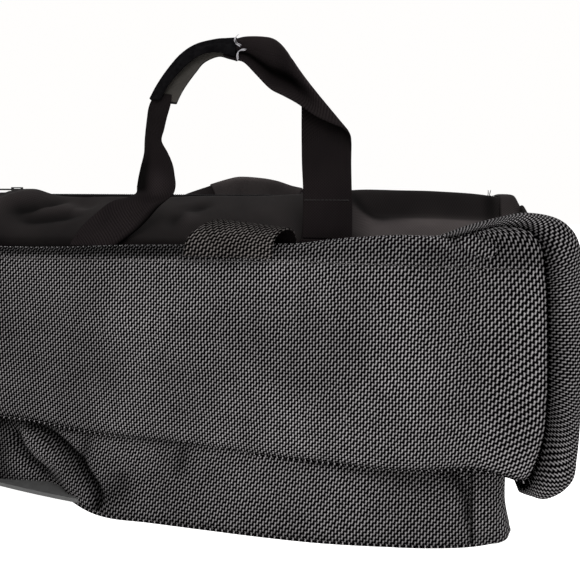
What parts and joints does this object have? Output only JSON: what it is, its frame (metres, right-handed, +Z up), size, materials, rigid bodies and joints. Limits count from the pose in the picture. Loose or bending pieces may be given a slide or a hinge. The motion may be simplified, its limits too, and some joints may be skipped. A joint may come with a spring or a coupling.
{
  "type": "soft carry bag",
  "caption": "Soft coarse-weave nylon carry bag with a zipped top, a bellows front pocket, a hem loop tab and webbing handles.",
  "frame": {"origin": "on the floor, midway between the bag's two ends and in the middle of its body", "axes": "+X along the bag's length, -Y towards the pocket side, +Z up"},
  "size_m": [0.458, 0.2973, 0.3198],
  "materials": {
    "coarse_nylon": "coarse basket weave, coated",
    "fine_nylon": "fine plain weave",
    "webbing": "ribbed nylon webbing",
    "grip_sleeve": "smooth, slightly glossy",
    "thread": "twisted thread",
    "zipper_tape": "knitted tape",
    "zipper_coil": "satin",
    "slider_metal": "black enamel, worn edges",
    "board": "matte",
    "binding_tape": "ribbed tape",
    "hook_tape": "stiff hooks",
    "loop_tape": "brushed loops"
  },
  "bodies": {
    "bag": {"front_panel": "coarse_nylon", "back_panel": "coarse_nylon", "end_panel_left": "coarse_nylon", "end_panel_right": "coarse_nylon", "bottom_panel": "coarse_nylon", "pocket_panel": "coarse_nylon", "pocket_hem": "coarse_nylon", "pocket_bottom_gusset": "coarse_nylon", "pocket_gusset_left": "coarse_nylon", "pocket_gusset_right": "coarse_nylon", "loop_tab": "coarse_nylon", "top_gusset_front": "fine_nylon", "top_gusset_back": "fine_nylon", "zipper_end_tab_left": "fine_nylon", "zipper_end_tab_right": "fine_nylon", "base_binding": "binding_tape", "seam_binding_front_left": "binding_tape", "seam_binding_front_right": "binding_tape", "seam_binding_back_left": "binding_tape", "seam_binding_back_right": "binding_tape", "front_strap_end_left": "webbing", "front_strap_end_right": "webbing", "rear_strap_end_left": "webbing", "rear_strap_end_right": "webbing", "zipper_tape_front": "zipper_tape", "zipper_tape_back": "zipper_tape", "zipper_coil_front": "zipper_coil", "zipper_coil_back": "zipper_coil", "zipper_stop_left": "slider_metal", "zipper_stop_right": "slider_metal", "base_board": "board", "hook_strip": "hook_tape", "loop_strip": "loop_tape"},
    "front_handle": {"front_webbing": "webbing", "front_grip": "grip_sleeve", "front_tack_inner": "thread", "front_tack_outer": "thread"},
    "rear_handle": {"rear_webbing": "webbing", "rear_grip": "grip_sleeve", "rear_tack_inner": "thread", "rear_tack_outer": "thread"},
    "slider": {"slider_body": "slider_metal", "slider_bail": "slider_metal"},
    "pull": {"pull_plate": "slider_metal"}
  },
  "joints": [
    {"name": "front_handle_swing", "type": "hinge", "parent": "bag", "child": "front_handle", "pos_m": [0, -0.0473, 0.187], "axis": [1, 0, 0], "range_deg": [-32, 72]},
    {"name": "rear_handle_swing", "type": "hinge", "parent": "bag", "child": "rear_handle", "pos_m": [0, 0.0711, 0.209], "axis": [1, 0, 0], "range_deg": [0, 102]},
    {"name": "slider_travel", "type": "slide", "parent": "bag", "child": "slider", "axis": [1, 0, 0], "range_m": [0, 0.356]},
    {"name": "pull_flip", "type": "hinge", "parent": "slider", "child": "pull", "pos_m": [-0.178, 0.01, 0.2172], "axis": [0, 1, 0], "range_deg": [0, 180]}
  ]
}
